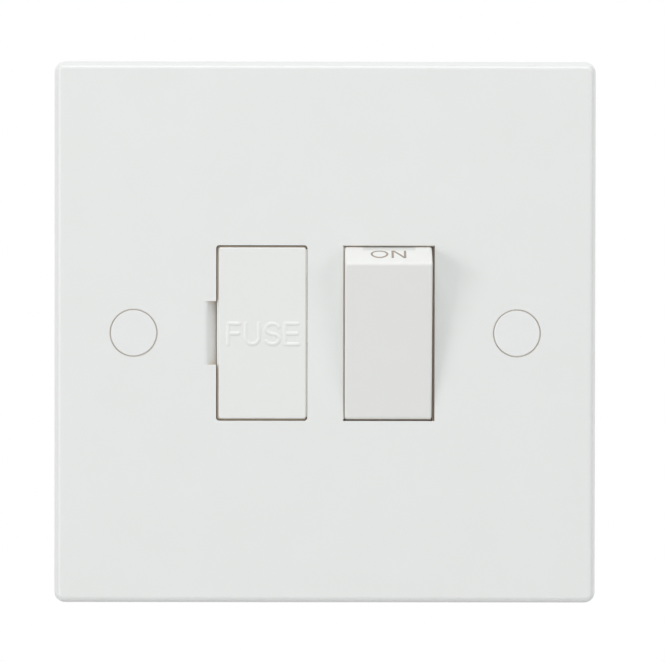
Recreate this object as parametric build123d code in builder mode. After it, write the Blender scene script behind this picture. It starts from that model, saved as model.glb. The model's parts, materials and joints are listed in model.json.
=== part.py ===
"""Fused spur unit: a single-gang switched fused connection unit, in millimetres.

The origin is the middle of the wall plane, between the two fixing screws. X runs to the right,
Y runs into the wall and Z runs up. Heights from the wall plane are called levels: a level is
positive on the room side, so a level of 9 is at Y = -9.
"""

import os
from math import atan2, cos, degrees, radians, sin, sqrt, tan

from build123d import *

# Front plate
plate_size = 86.0
plate_depth = 9.0
plate_draft = 5.5
plate_corner_radius = 1.7
plate_edge_radius = 0.7
plate_front_wall = 2.6
plate_side_wall = 2.0
rib_width = 1.2
rib_height = 1.5
rib_spacing = 18.0
rib_gap = 1.5
root_depth = 0.5

# Fixing screws and their caps
fixing_spacing = 60.3
pillar_radius = 5.0
fixing_hole_radius = 2.0
fixing_well_radius = 3.775
fixing_well_depth = 5.0
fixing_screw_radius = 1.75
fixing_shank_radius = 1.55
fixing_tip_chamfer = 0.5
fixing_screw_length = 25.0
fixing_head_radius = 3.3
fixing_head_height = 2.2
fixing_head_edge = 0.7
fixing_slot_depth = 1.1
cap_radius = 3.6
cap_thickness = 1.2
cap_edge_radius = 0.12
cap_skirt_radius = 3.1
cap_skirt_wall = 0.8
cap_slit = 1.0

# Rocker and its aperture
rocker_x = 10.0
rocker_aperture_width = 14.4
rocker_width = 13.68
rocker_offset = -0.1
rocker_face_half = 12.43
rocker_face_offset = 6.55
rocker_pivot_depth = 3.9
rocker_tilt = 11.0
rocker_gap = 0.3
rocker_wall = 1.5
rocker_skirt_angle = 8.0
rocker_crease_radius = 0.6
rocker_side_edge_radius = 0.35
pin_radius = 1.2
pin_end_gap = 0.125
pin_room = 1.0
legend_width = 8.3
legend_depth = 0.05
legend_start_angle = 8.0
legend_end_angle = 22.2
running_gap = 0.05

# Collars behind the two apertures
collar_depth = 4.0
rocker_collar_wall = 1.4
guide_depth = 1.4
guide_gap = 0.1
fuse_collar_wall = 1.2
moulding_gap = 0.15

# Fuse drawer and its aperture
fuse_x = -10.0
fuse_aperture_width = 14.35
aperture_height = 27.6
fuse_aperture_radius = 0.5
drawer_width = 13.74
drawer_height = 26.95
drawer_offset = 0.09
drawer_front = 2.4
drawer_draft = 4.0
drawer_edge_radius = 0.25
drawer_corner_radius = 0.4
drawer_travel = 15.0
cheek_wall = 1.3
cheek_height = 14.0
cheek_depth = 8.6
leg_width = 3.6
hook_length = 1.8
hook_overlap = 0.68
groove_gap = 0.2
cradle_inset = 0.5
cradle_grip = 1.0
cradle_height = 9.0
cradle_depth = 6.8
lever_notch_height = 10.0
lever_notch_width = 2.0
lever_notch_depth = 2.4
notch_lip_width = 1.15
notch_lip_drop = 1.7
lever_slot_depth = 0.9
lever_slot_height = 6.0
lever_slot_width = 1.4

# Cartridge fuse and its clips
fuse_length = 25.4
fuse_cap_radius = 3.175
fuse_cap_length = 6.0
fuse_cap_wall = 0.35
fuse_cap_edge = 0.3
fuse_body_radius = 3.0
fuse_centre_depth = 6.8
clip_gap = 0.05
clip_thickness = 0.7
clip_height = 4.0
clip_end_inset = 1.3
clip_flare = 0.75
clip_jaw_reach = 2.0
clip_flare_reach = 3.0
clip_foot_extra = 2.0
clip_stem_width = 4.0

# Rear housing
housing_width = 40.4
housing_middle_height = 35.0
housing_height = 59.0
housing_back_depth = 17.0
housing_floor_depth = 12.0
housing_corner_radius = 3.0
terminal_shelf_depth = 0.5
flange_thickness = 2.5
ear_x = 23.4
ear_z = 9.0
ear_radius = 4.0
chamber_half_height = 16.0
fuse_chamber_width = 14.6
switch_chamber_width = 14.5
barrier_thickness = 0.8
barrier_rise = 3.0
boss_radius = 2.2
boss_setback = 0.3
housing_screw_radius = 1.1
housing_screw_head_radius = 3.0
housing_screw_head_height = 1.5
housing_screw_head_edge = 0.5
housing_screw_slot_margin = 1.0
housing_screw_end_gap = 0.2
housing_screw_bite = 3.7
slot_gap = 0.2

# Terminals
terminal_xs = (-14.0, 0.0, 14.0)
terminal_width = 6.5
terminal_height = 8.5
terminal_edge = 0.5
terminal_inner_wall = 2.3
terminal_end_gap = 0.7
pocket_end_wall = 1.5
terminal_floor_depth = 7.0
cable_bore_radius = 2.1
cable_bore_end_wall = 1.4
cable_bore_depth = 10.6
cable_notch_width = 5.4
terminal_screw_radius = 1.65
terminal_screw_head_base = 1.68
terminal_screw_head_share = 0.08
terminal_screw_head_height = 1.6
screw_slot_width = 0.8
screw_slot_depth = 0.8

# Switch mechanism
pole_spacing = 7.0
sleeve_radius = 2.1
sleeve_reach = 3.2
sleeve_end_wall = 0.7
plunger_radius = 1.1
plunger_tip_radius = 1.0
plunger_reach = 12.4
plunger_top = 0.8
plunger_shank_end = 10.9
spring_radius = 0.85
spring_wire_radius = 0.18
spring_turns = 5.0
arm_reach = 9.75
arm_width = 3.6
arm_thickness = 0.8
arm_swing = 9.0
arm_bend = 15.75
plunger_gap = 0.15
contact_gap = 0.03
trunnion_radius = 0.8
trunnion_root = 0.5
trunnion_end = 0.2
bracket_side_gap = 0.2
bracket_ear_wall = 0.7
bracket_base_height = 7.0
bracket_ear_height = 4.0
bracket_ear_rise = 1.4
bracket_slot_length = 2.0
tip_distance = 8.6
tip_radius = 1.2
tip_height = 0.75
tip_dome_radius = 1.6
fixed_tip_radius = 1.5
fixed_tip_height = 0.5
fixed_tip_edge = 0.1
strip_thickness = 0.8
strip_width = 3.8
contact_shelf_bottom = 7.6
ledge_setback = 0.4
contact_riser_z = 12.4
link_low_z = 13.2
link_high_z = 15.8

# Places worked out from the sizes above
face_level = plate_depth
wall_back_level = plate_depth - plate_front_wall
collar_back_level = wall_back_level - collar_depth
recess_level = collar_back_level - moulding_gap
pivot_level = face_level - rocker_pivot_depth
floor_level = -housing_floor_depth
strip_level = floor_level + strip_thickness
housing_back_level = -housing_back_depth
fuse_level = face_level - fuse_centre_depth
fixing_x = fixing_spacing / 2
rocker_radius = sqrt(rocker_face_half**2 + rocker_face_offset**2)
sweep_radius = rocker_radius + rocker_gap
moulding_x = rocker_x + rocker_offset
pin_end = rocker_aperture_width / 2 + rocker_collar_wall - pin_end_gap
drawer_x = fuse_x + drawer_offset
drawer_spread = drawer_front * tan(radians(drawer_draft))
terminal_inner_z = chamber_half_height + terminal_inner_wall
pocket_outer_z = housing_height / 2 - pocket_end_wall
terminal_length = pocket_outer_z - terminal_end_gap - terminal_inner_z
cable_bore_length = terminal_length - cable_bore_end_wall
terminal_screw_head_radius = terminal_screw_head_base + terminal_length * terminal_screw_head_share
pole_xs = {"live": rocker_x - pole_spacing / 2, "neutral": rocker_x + pole_spacing / 2}
rows = {"top": 1, "bottom": -1}


def front_plane(level):
    """Plane parallel to the wall: local x is X, local y is Z and extrusions run to the room."""
    return Plane.XZ.offset(level)


def side_plane(x, level=0.0, turn=0.0):
    """Upright plane at x: local x points to the room, local y up, turned about X with its top outwards."""
    outwards = (0, -cos(radians(turn)), -sin(radians(turn)))
    return Plane(origin=(x, -level, 0), x_dir=outwards, z_dir=(-1, 0, 0))


def flat_plane(x, z):
    """Level plane at height z: local x is X, local y points to the room and extrusions run down."""
    return Plane(origin=(x, 0, z), x_dir=(1, 0, 0), z_dir=(0, 0, -1))


def pole_plane(x):
    """Plane across the rocker's pivot whose normal points out of the rocker's face, at the pole x."""
    outwards = side_plane(x, pivot_level, rocker_tilt).x_dir
    return Plane(origin=(x, -pivot_level, 0), x_dir=(1, 0, 0), z_dir=outwards)


def block(x_range, z_range, level_range, mode=Mode.ADD):
    """Box between two values of x, of z and of level, added to or cut from the part being built."""
    sizes = [high - low for low, high in (x_range, level_range, z_range)]
    x, level, z = ((low + high) / 2 for low, high in (x_range, level_range, z_range))
    with Locations((x, -level, z)):
        Box(*sizes, mode=mode)


def across(middle, width):
    """The two ends of a width about its middle."""
    return (middle - width / 2, middle + width / 2)


def write(part, name):
    """Label a finished piece and write its STEP file."""
    part.label = name
    export_step(part, f"parts/{name}.step")


os.makedirs("parts", exist_ok=True)

# The front plate: one moulding with pillars, collars, ribs and screw bosses on its back
ear_places = [(x, z) for x in (-ear_x, ear_x) for z in (-ear_z, ear_z)]
fixing_places = [(-fixing_x, 0), (fixing_x, 0)]
boss_top_level = wall_back_level - flange_thickness + boss_setback
rib_start_z = housing_middle_height / 2 + rib_gap
cavity_half = plate_size / 2 - plate_side_wall

with BuildPart() as front_plate:
    with BuildSketch(front_plane(0)):
        RectangleRounded(plate_size, plate_size, plate_corner_radius)
    extrude(amount=plate_depth, taper=plate_draft)
    front_edges = front_plate.faces().sort_by(Axis.Y)[0].edges()
    fillet(front_edges, plate_edge_radius)
    with BuildSketch(front_plane(0)):
        RectangleRounded(2 * cavity_half, 2 * cavity_half, plate_corner_radius / 2)
    extrude(amount=wall_back_level, taper=plate_draft, mode=Mode.SUBTRACT)
    # Pillars carry the fixing screws back to the wall plane
    with BuildSketch(front_plane(0)):
        with Locations(*fixing_places):
            Circle(pillar_radius)
    extrude(amount=wall_back_level + plate_front_wall / 2)
    # Stiffening ribs run from beside the housing to the rim
    rib_level = wall_back_level - rib_height
    for side in rows.values():
        for column in (-1, 0, 1):
            z_ends = sorted((side * rib_start_z, side * (cavity_half - root_depth)))
            block(across(column * rib_spacing, rib_width), z_ends, (rib_level, wall_back_level + root_depth))
        x_ends = sorted((side * fixing_x, side * (cavity_half - root_depth)))
        block(x_ends, across(0, rib_width), (rib_level, wall_back_level + root_depth))
    # Collars stand behind the apertures and the bosses take the housing screws
    with BuildSketch(front_plane(collar_back_level)):
        with Locations((rocker_x, 0)):
            Rectangle(
                rocker_aperture_width + 2 * rocker_collar_wall,
                2 * (sweep_radius + rocker_collar_wall),
            )
        with Locations((fuse_x, 0)):
            Rectangle(
                fuse_aperture_width + 2 * fuse_collar_wall,
                aperture_height + 2 * fuse_collar_wall,
            )
    extrude(amount=collar_depth + plate_front_wall / 2)
    with BuildSketch(front_plane(boss_top_level)):
        with Locations(*ear_places):
            Circle(boss_radius)
    extrude(amount=wall_back_level + root_depth - boss_top_level)
    # The rocker's aperture has curved ends about its pivot, the fuse aperture has straight ones
    with BuildSketch(side_plane(rocker_x, pivot_level)):
        Circle(sweep_radius)
    extrude(amount=rocker_aperture_width / 2, both=True, mode=Mode.SUBTRACT)
    with BuildSketch(front_plane(collar_back_level)):
        with Locations((fuse_x, 0)):
            RectangleRounded(fuse_aperture_width, aperture_height, fuse_aperture_radius)
    extrude(amount=face_level - collar_back_level, mode=Mode.SUBTRACT)
    # Guides below the aperture's rim keep the rocker in its place from side to side
    for side in rows.values():
        guide_ends = sorted(
            (
                moulding_x + side * (rocker_width / 2 + guide_gap),
                rocker_x + side * (rocker_aperture_width / 2 + root_depth),
            )
        )
        guide_levels = (collar_back_level, face_level - guide_depth)
        block(guide_ends, across(0, 2 * (sweep_radius + root_depth)), guide_levels)
    # Seats for the rocker's pins, open to the back
    seat_radius = pin_radius + running_gap
    with BuildSketch(side_plane(rocker_x, pivot_level)):
        Circle(seat_radius)
        with Locations(((collar_back_level - pivot_level) / 2, 0)):
            Rectangle(pivot_level - collar_back_level, 2 * seat_radius)
    extrude(amount=rocker_aperture_width / 2 + rocker_collar_wall, both=True, mode=Mode.SUBTRACT)
    # Slots in the fuse collar let the drawer's hooks run forward to the front wall
    hook_slot_width = leg_width + 2 * groove_gap
    block(
        across(fuse_x, fuse_aperture_width + 2 * fuse_collar_wall),
        across(0, hook_slot_width),
        (collar_back_level, wall_back_level),
        mode=Mode.SUBTRACT,
    )
    # Wells for the fixing screws and their caps
    with Locations(front_plane(face_level)):
        with Locations(*fixing_places):
            CounterBoreHole(
                fixing_hole_radius,
                fixing_well_radius,
                fixing_well_depth,
                depth=plate_depth,
            )
    with BuildSketch(front_plane(boss_top_level)):
        with Locations(*ear_places):
            Circle(housing_screw_radius + running_gap)
    extrude(amount=housing_screw_bite + housing_screw_end_gap, mode=Mode.SUBTRACT)
    # Lever notch beside the drawer: a rolled lip that drops into a narrow slot
    notch_right = fuse_x - fuse_aperture_width / 2
    notch_left = notch_right - lever_notch_width
    notch_floor = face_level - lever_notch_depth
    lip_end = (notch_left + notch_lip_width, face_level - notch_lip_drop)
    with BuildSketch(flat_plane(0, lever_notch_height / 2)):
        with BuildLine():
            Polyline(
                (notch_left, face_level),
                (notch_right + root_depth, face_level),
                (notch_right + root_depth, notch_floor),
                (lip_end[0], notch_floor),
                lip_end,
            )
            EllipticalCenterArc(
                (notch_left, lip_end[1]),
                notch_lip_width,
                notch_lip_drop,
                start_angle=0,
                arc_size=90,
            )
        make_face()
    extrude(amount=lever_notch_height, mode=Mode.SUBTRACT)
write(front_plate.part, "front_plate")

# The rear housing: a phenolic tray screwed to the plate from behind, with terminal pockets at its back
pin_tongue_level = pivot_level - pin_radius - 2 * running_gap

# The contact arms' pivot follows from where the plunger's ball rests on the arm's upper wing
ball_centre_reach = plunger_reach - plunger_tip_radius
ball_level = pivot_level - ball_centre_reach * cos(radians(rocker_tilt))
ball_z = ball_centre_reach * sin(radians(rocker_tilt))
wing_lean = arm_bend - arm_swing
ball_stand_off = plunger_tip_radius + arm_thickness / 2 + plunger_gap
fulcrum_level = ball_level - (ball_stand_off + ball_z * sin(radians(wing_lean))) / cos(radians(wing_lean))
# The domed tip on the arm's back meets the fixed tip's flat face
tip_root_level = fulcrum_level + tip_distance * sin(radians(wing_lean))
tip_root_z = tip_distance * cos(radians(wing_lean))
tip_stand_off = arm_thickness / 2 + tip_height
dome_centre_off = tip_stand_off - tip_dome_radius
dome_level = tip_root_level - dome_centre_off * cos(radians(wing_lean)) - tip_dome_radius
dome_z = tip_root_z + dome_centre_off * sin(radians(wing_lean))
fixed_tip_level = dome_level - contact_gap
shelf_level = fixed_tip_level - fixed_tip_height

with BuildPart() as rear_housing:
    with BuildSketch(front_plane(housing_back_level)):
        RectangleRounded(housing_width, housing_height, housing_corner_radius)
    extrude(amount=housing_back_depth - terminal_shelf_depth)
    block(
        across(0, housing_width),
        across(0, housing_middle_height),
        (-terminal_shelf_depth - root_depth, wall_back_level),
    )
    # Ears with clearance holes round the plate's bosses
    ear_level = wall_back_level - flange_thickness
    with BuildSketch(front_plane(ear_level)):
        with Locations(*ear_places):
            Circle(ear_radius)
        with Locations((0, ear_z), (0, -ear_z)):
            Rectangle(2 * ear_x, 2 * ear_radius)
    extrude(amount=flange_thickness)
    with BuildSketch(front_plane(ear_level)):
        with Locations(*ear_places):
            Circle(boss_radius + running_gap)
    extrude(amount=flange_thickness, mode=Mode.SUBTRACT)
    # Recesses for the two collars, then the two chambers
    rocker_recess = rocker_aperture_width + 2 * rocker_collar_wall + 2 * moulding_gap
    fuse_recess = fuse_aperture_width + 2 * fuse_collar_wall + 2 * moulding_gap
    recess_height = 2 * (sweep_radius + rocker_collar_wall + moulding_gap)
    block(
        across(rocker_x, rocker_recess),
        across(0, recess_height),
        (recess_level, wall_back_level),
        mode=Mode.SUBTRACT,
    )
    block(
        across(fuse_x, fuse_recess),
        across(0, recess_height),
        (recess_level, wall_back_level),
        mode=Mode.SUBTRACT,
    )
    block(
        across(rocker_x, switch_chamber_width),
        across(0, 2 * chamber_half_height),
        (floor_level, recess_level),
        mode=Mode.SUBTRACT,
    )
    block(
        across(fuse_x, fuse_chamber_width),
        across(0, 2 * chamber_half_height),
        (floor_level, recess_level),
        mode=Mode.SUBTRACT,
    )
    # Grooves for the drawer's hooks
    groove_left = drawer_x - drawer_width / 2 - 2 * hook_overlap
    groove_right = drawer_x + drawer_width / 2 + 2 * hook_overlap
    block(
        (groove_left, groove_right),
        across(0, hook_slot_width),
        (floor_level, recess_level),
        mode=Mode.SUBTRACT,
    )
    # Tongues that close the seats behind the rocker's pins
    for side in rows.values():
        tongue_ends = sorted(
            rocker_x + side * reach
            for reach in (
                rocker_aperture_width / 2 + moulding_gap,
                rocker_aperture_width / 2 + rocker_collar_wall - moulding_gap,
            )
        )
        block(tongue_ends, across(0, 2 * pin_radius), (recess_level - root_depth, pin_tongue_level))
    # Barrier between the poles and ledges behind the fixed contacts
    block(
        across(rocker_x, barrier_thickness),
        across(0, 2 * contact_riser_z),
        (floor_level, fulcrum_level + barrier_rise),
    )
    for pole_x in pole_xs.values():
        block(
            across(pole_x, strip_width),
            (contact_shelf_bottom + ledge_setback, contact_riser_z - strip_thickness / 2),
            (floor_level, shelf_level - strip_thickness),
        )
    # Ways for the strips between the chambers and out to the terminals
    strip_room = (floor_level, strip_level + slot_gap)
    block(
        (fuse_x, rocker_x),
        (link_low_z - slot_gap, chamber_half_height),
        strip_room,
        mode=Mode.SUBTRACT,
    )
    block(
        (-strip_width / 2 - slot_gap, rocker_x),
        (-chamber_half_height, -link_low_z + slot_gap),
        strip_room,
        mode=Mode.SUBTRACT,
    )
    strip_exits = [
        (pole_xs["neutral"], 1, strip_width),
        (pole_xs["neutral"], -1, strip_width),
        (0, -1, strip_width),
        (fuse_x - clip_stem_width / 2, -1, clip_stem_width + clip_foot_extra),
    ]
    for exit_x, side, width in strip_exits:
        z_ends = sorted((side * (chamber_half_height - root_depth), side * terminal_inner_z))
        block(across(exit_x, width + 2 * slot_gap), z_ends, strip_room, mode=Mode.SUBTRACT)
    # Terminal pockets, open to the back, with notches for the cables in the outer wall
    for side in rows.values():
        for terminal_x in terminal_xs:
            z_ends = sorted((side * (terminal_inner_z - moulding_gap), side * pocket_outer_z))
            block(
                across(terminal_x, terminal_width + 2 * moulding_gap),
                z_ends,
                (housing_back_level, -terminal_floor_depth),
                mode=Mode.SUBTRACT,
            )
            notch_ends = sorted((side * (pocket_outer_z - root_depth), side * housing_height / 2))
            block(
                across(terminal_x, cable_notch_width),
                notch_ends,
                (housing_back_level, -cable_bore_depth + cable_notch_width / 2),
                mode=Mode.SUBTRACT,
            )
    earth_z = terminal_inner_z + terminal_length / 2
    block(
        (terminal_xs[0], terminal_xs[1]),
        across(earth_z, strip_width + 2 * slot_gap),
        (housing_back_level, -terminal_floor_depth),
        mode=Mode.SUBTRACT,
    )
write(rear_housing.part, "rear_housing")

# Four self-tapping screws hold the housing to the plate
cross_length = 2 * (housing_screw_head_radius - housing_screw_slot_margin)
with BuildPart() as housing_screws:
    with BuildSketch(front_plane(ear_level)):
        with Locations(*ear_places):
            Circle(housing_screw_head_radius)
    extrude(amount=-housing_screw_head_height)
    head_rims = housing_screws.faces().filter_by(Axis.Y).group_by(Axis.Y)[-1].edges()
    fillet(head_rims, housing_screw_head_edge)
    with BuildSketch(front_plane(ear_level)):
        with Locations(*ear_places):
            Circle(housing_screw_radius)
    extrude(amount=housing_screw_bite)
    with BuildSketch(front_plane(ear_level - housing_screw_head_height)):
        with Locations(*ear_places):
            Rectangle(cross_length, screw_slot_width)
            Rectangle(screw_slot_width, cross_length)
    extrude(amount=screw_slot_depth, mode=Mode.SUBTRACT)
write(housing_screws.part, "housing_screws")

# The two fixing screws, seated in their wells, threaded from the wall plane on
seat_level = face_level - fixing_well_depth
with BuildPart() as fixing_screws:
    with BuildSketch(front_plane(seat_level)):
        with Locations(*fixing_places):
            Circle(fixing_head_radius)
    extrude(amount=fixing_head_height)
    fillet(fixing_screws.faces().group_by(Axis.Y)[0].edges(), fixing_head_edge)
    with BuildSketch(front_plane(seat_level)):
        with Locations(*fixing_places):
            Circle(fixing_shank_radius)
    extrude(amount=-seat_level)
    with BuildSketch(front_plane(0)):
        with Locations(*fixing_places):
            Circle(fixing_screw_radius)
    extrude(amount=seat_level - fixing_screw_length)
    chamfer(fixing_screws.faces().group_by(Axis.Y)[-1].edges(), fixing_tip_chamfer)
    with BuildSketch(front_plane(seat_level + fixing_head_height)):
        with Locations(*fixing_places):
            Rectangle(2 * fixing_head_radius, screw_slot_width)
    extrude(amount=-fixing_slot_depth, mode=Mode.SUBTRACT)
write(fixing_screws.part, "fixing_screws")

# The screw caps: flat discs with a slit skirt that stands on the screw's head
head_top_level = seat_level + fixing_head_height
for cap_name, cap_x in (("screw_cap_left", -fixing_x), ("screw_cap_right", fixing_x)):
    with BuildPart() as screw_cap:
        with BuildSketch(front_plane(face_level - cap_thickness)):
            with Locations((cap_x, 0)):
                Circle(cap_radius)
        extrude(amount=cap_thickness)
        fillet(screw_cap.faces().sort_by(Axis.Y)[0].edges(), cap_edge_radius)
        with BuildSketch(front_plane(head_top_level)):
            with Locations((cap_x, 0)):
                Circle(cap_skirt_radius)
                Circle(cap_skirt_radius - cap_skirt_wall, mode=Mode.SUBTRACT)
                Rectangle(2 * cap_radius, cap_slit, mode=Mode.SUBTRACT)
                Rectangle(cap_slit, 2 * cap_radius, mode=Mode.SUBTRACT)
        extrude(amount=face_level - cap_thickness - head_top_level)
    write(screw_cap.part, cap_name)

# The rocker, moulded hollow with two sleeves for the plungers, shown pressed in at its bottom
corner_angle = degrees(atan2(rocker_face_offset, rocker_face_half))


def rocker_section(face_offset, radius):
    """Section of the rocker about its pivot: a flat face, an arc at each end and a straight back."""
    face_half = sqrt(radius**2 - face_offset**2)
    face_angle = degrees(atan2(face_offset, face_half))
    back = -radius * sin(radians(rocker_skirt_angle))
    back_half = radius * cos(radians(rocker_skirt_angle))
    middle = radians((face_angle - rocker_skirt_angle) / 2)
    with BuildSketch(side_plane(moulding_x, pivot_level, rocker_tilt)) as section:
        with BuildLine():
            Line((face_offset, -face_half), (face_offset, face_half))
            ThreePointArc(
                (face_offset, face_half),
                (radius * sin(middle), radius * cos(middle)),
                (back, back_half),
            )
            Line((back, back_half), (back, -back_half))
            ThreePointArc(
                (back, -back_half),
                (radius * sin(middle), -radius * cos(middle)),
                (face_offset, -face_half),
            )
        make_face()
    return section.sketch


with BuildPart() as rocker:
    extrude(rocker_section(rocker_face_offset, rocker_radius), amount=rocker_width / 2, both=True)
    creases = rocker.edges().filter_by(Axis.X).group_by(Axis.Y)
    fillet(creases[0] + creases[1], rocker_crease_radius)
    flanks = rocker.faces().filter_by(Axis.X)
    flank_edges = [e for f in flanks for e in f.edges() if e.center().Y < -pivot_level - root_depth]
    fillet(flank_edges, rocker_side_edge_radius)
    extrude(
        rocker_section(rocker_face_offset - rocker_wall, rocker_radius - rocker_wall),
        amount=rocker_width / 2 - rocker_wall,
        both=True,
        mode=Mode.SUBTRACT,
    )
    # Open the back all over
    back_plane = Plane(
        origin=side_plane(moulding_x, pivot_level, rocker_tilt).origin,
        x_dir=(1, 0, 0),
        z_dir=side_plane(rocker_x, pivot_level, rocker_tilt).x_dir,
    )
    inner_half = (rocker_radius - rocker_wall) * cos(radians(rocker_skirt_angle))
    sleeve_places = [(x - moulding_x, 0) for x in pole_xs.values()]
    with BuildSketch(back_plane.offset(-sleeve_reach)):
        Rectangle(rocker_width - 2 * rocker_wall, 2 * inner_half)
    extrude(amount=sleeve_reach - pin_room, mode=Mode.SUBTRACT)
    # Pivot pins and the plungers' sleeves
    with BuildSketch(side_plane(rocker_x, pivot_level)):
        Circle(pin_radius)
    extrude(amount=pin_end, both=True)
    with BuildSketch(side_plane(moulding_x, pivot_level)):
        Circle(pin_radius + pin_room)
    extrude(amount=rocker_width / 2 - rocker_wall, both=True, mode=Mode.SUBTRACT)
    with BuildSketch(back_plane.offset(-sleeve_reach)):
        with Locations(*sleeve_places):
            Circle(sleeve_radius)
    extrude(amount=sleeve_reach + rocker_face_offset - rocker_wall + root_depth)
    sleeve_bore_end = rocker_face_offset - rocker_wall - sleeve_end_wall
    with BuildSketch(back_plane.offset(-sleeve_reach)):
        with Locations(*sleeve_places):
            Circle(plunger_radius + running_gap)
    extrude(amount=sleeve_reach + sleeve_bore_end, mode=Mode.SUBTRACT)
    # Shallow recess above the printed word on the upper end
    with BuildSketch(side_plane(rocker_x, pivot_level)):
        floor_start, floor_middle, floor_end, rim_end, rim_start = (
            (radius * sin(radians(angle)), radius * cos(radians(angle)))
            for radius, angle in (
                (rocker_radius - legend_depth, legend_start_angle),
                (rocker_radius - legend_depth, (legend_start_angle + legend_end_angle) / 2),
                (rocker_radius - legend_depth, legend_end_angle),
                (rocker_radius + root_depth, legend_end_angle),
                (rocker_radius + root_depth, legend_start_angle),
            )
        )
        with BuildLine():
            ThreePointArc(floor_start, floor_middle, floor_end)
            Polyline(floor_end, rim_end, rim_start, floor_start)
        make_face()
    extrude(amount=legend_width / 2, both=True, mode=Mode.SUBTRACT)
write(rocker.part, "rocker")

# Each pole has a sprung plunger in the rocker and a see-saw arm in a bracket behind it
for pole, pole_x in pole_xs.items():
    guide = pole_plane(pole_x)
    with BuildPart() as plunger:
        with BuildSketch(guide.offset(-plunger_shank_end)):
            Circle(plunger_radius)
        extrude(amount=plunger_shank_end + plunger_top)
        with BuildSketch(guide.offset(-ball_centre_reach)):
            Circle(plunger_tip_radius)
        extrude(amount=ball_centre_reach - plunger_shank_end)
        with Locations(guide.offset(-ball_centre_reach).location):
            Sphere(plunger_tip_radius)
    write(plunger.part, f"plunger_{pole}")

    spring_length = sleeve_bore_end - plunger_top - 2 * spring_wire_radius
    with BuildPart() as plunger_spring:
        with BuildLine() as spring_path:
            Helix(
                pitch=spring_length / spring_turns,
                height=spring_length,
                radius=spring_radius,
            )
        with BuildSketch(Plane(origin=spring_path.line @ 0, z_dir=spring_path.line % 0)):
            Circle(spring_wire_radius)
        sweep(path=spring_path.line, is_frenet=True)
    spring_place = guide.offset(plunger_top + spring_wire_radius).location
    write(plunger_spring.part.moved(spring_place), f"plunger_spring_{pole}")

    with BuildPart() as contact_arm:
        with BuildSketch(side_plane(pole_x, fulcrum_level, -arm_swing)):
            wing = (arm_reach * sin(radians(arm_bend)), arm_reach * cos(radians(arm_bend)))
            with BuildLine() as arm_line:
                Line((wing[0], -wing[1]), (0, 0))
                Line((0, 0), wing)
            trace(arm_line.line, line_width=arm_thickness)
        extrude(amount=arm_width / 2, both=True)
        for side in rows.values():
            with BuildSketch(side_plane(pole_x + side * (arm_width / 2 - trunnion_root), fulcrum_level)):
                Circle(trunnion_radius)
            extrude(amount=-side * (trunnion_root + bracket_side_gap + bracket_ear_wall + trunnion_end))
    write(contact_arm.part, f"contact_arm_{pole}")

    wing_normal = (0, cos(radians(wing_lean)), sin(radians(wing_lean)))
    tip_plane = Plane(
        origin=(pole_x, -tip_root_level, tip_root_z),
        x_dir=(1, 0, 0),
        z_dir=wing_normal,
    )
    with BuildPart() as arm_tip:
        with BuildSketch(tip_plane.offset(arm_thickness / 2)):
            Circle(tip_radius)
        extrude(amount=tip_height)
        with Locations(tip_plane.offset(dome_centre_off).location):
            Sphere(tip_dome_radius, mode=Mode.INTERSECT)
    write(arm_tip.part, f"arm_tip_{pole}")

    with BuildPart() as fixed_tip:
        with BuildSketch(front_plane(shelf_level)):
            with Locations((pole_x, dome_z)):
                Circle(fixed_tip_radius)
        extrude(amount=fixed_tip_height)
        chamfer(fixed_tip.faces().sort_by(Axis.Y)[0].edges(), fixed_tip_edge)
    write(fixed_tip.part, f"fixed_tip_{pole}")

    # The fixed contact's strip rises from the floor and folds over its ledge
    strip_end_z = link_high_z if pole == "live" else terminal_inner_z
    with BuildPart() as fixed_contact:
        with BuildSketch(side_plane(pole_x)):
            shelf_middle = shelf_level - strip_thickness / 2
            floor_middle = floor_level + strip_thickness / 2
            with BuildLine() as strip_line:
                Polyline(
                    (shelf_middle, contact_shelf_bottom),
                    (shelf_middle, contact_riser_z),
                    (floor_middle, contact_riser_z),
                    (floor_middle, strip_end_z),
                )
            trace(strip_line.line, line_width=strip_thickness)
        extrude(amount=strip_width / 2, both=True)
        if pole == "live":
            # This strip carries on along the top of the unit to the upper fuse clip
            block(
                (fuse_x - clip_stem_width / 2, pole_x),
                (link_low_z, link_high_z),
                (floor_level, strip_level),
            )
    write(fixed_contact.part, f"fixed_contact_{pole}")

    # The bracket's ears carry the arm's trunnions and its foot runs down to the supply terminal
    ear_inner = arm_width / 2 + bracket_side_gap
    ear_outer = ear_inner + bracket_ear_wall
    with BuildPart() as fulcrum_bracket:
        block(
            (pole_x - ear_outer, pole_x + ear_outer),
            across(0, bracket_base_height),
            (floor_level, strip_level),
        )
        for side in rows.values():
            ear_ends = sorted((pole_x + side * ear_inner, pole_x + side * ear_outer))
            block(
                ear_ends,
                across(0, bracket_ear_height),
                (floor_level, fulcrum_level + bracket_ear_rise),
            )
        with BuildSketch(side_plane(pole_x, fulcrum_level)):
            Circle(trunnion_radius + running_gap)
            with Locations((bracket_slot_length / 2, 0)):
                Rectangle(bracket_slot_length, 2 * (trunnion_radius + running_gap))
        extrude(amount=ear_outer, both=True, mode=Mode.SUBTRACT)
        if pole == "live":
            block(
                across(pole_x, strip_width),
                (-link_high_z, -bracket_base_height / 2),
                (floor_level, strip_level),
            )
            block(
                (-strip_width / 2, pole_x),
                (-link_high_z, -link_low_z),
                (floor_level, strip_level),
            )
            block(
                across(0, strip_width),
                (-terminal_inner_z, -link_high_z),
                (floor_level, strip_level),
            )
        else:
            block(
                across(pole_x, strip_width),
                (-terminal_inner_z, -bracket_base_height / 2),
                (floor_level, strip_level),
            )
    write(fulcrum_bracket.part, f"fulcrum_bracket_{pole}")

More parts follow.
